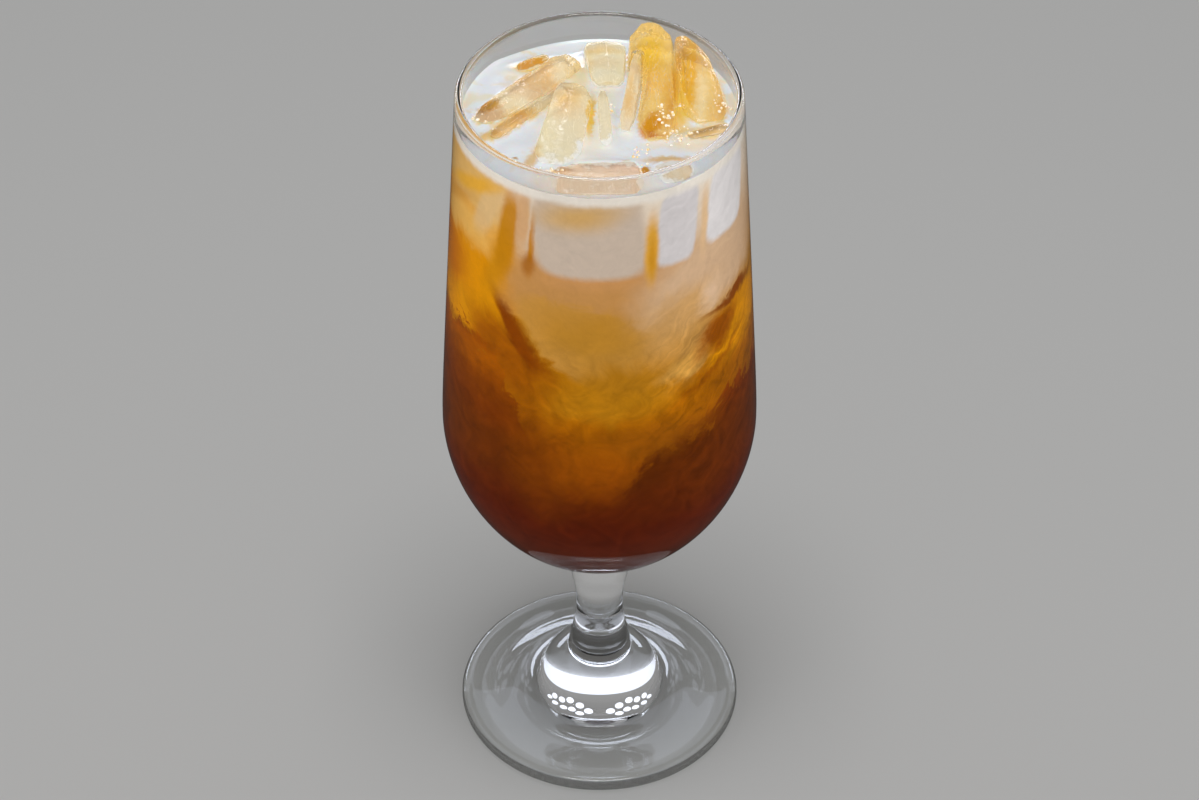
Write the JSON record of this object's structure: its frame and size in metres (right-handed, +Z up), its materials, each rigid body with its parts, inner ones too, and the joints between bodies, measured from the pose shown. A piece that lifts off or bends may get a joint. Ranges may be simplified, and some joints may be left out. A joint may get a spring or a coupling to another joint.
{
  "type": "thai iced tea",
  "caption": "Footed glass filled with layered iced tea, milky swirls and a cream top, with pieces of ice standing out of the cream near the rim.",
  "frame": {"origin": "centre of the underside of the foot, on the surface the glass stands on", "axes": "+Z up along the glass's axis; -Y towards the side with the pale ice front; +X to its right"},
  "size_m": [0.0736, 0.0736, 0.1865],
  "materials": {
    "clear_glass": "pressed soda-lime glass, clear and smooth",
    "tea": "strong clear red-brown tea",
    "milky_tea": "tea clouded with milk, tan and amber swirls",
    "cream": "pale cream, wet",
    "ice": "clear wet ice tinted by the drink"
  },
  "bodies": {
    "root": {"glass": "clear_glass", "tea": "tea", "milky_tea": "milky_tea", "cream": "cream", "ice_ridge": "ice", "ice_tall": "ice", "ice_right": "ice", "ice_right_low": "ice", "ice_left": "ice", "ice_left_low": "ice", "ice_sliver": "ice", "ice_broad": "ice", "ice_middle": "ice", "ice_back": "ice", "ice_front": "ice", "ice_front_right": "ice"}
  },
  "joints": []
}
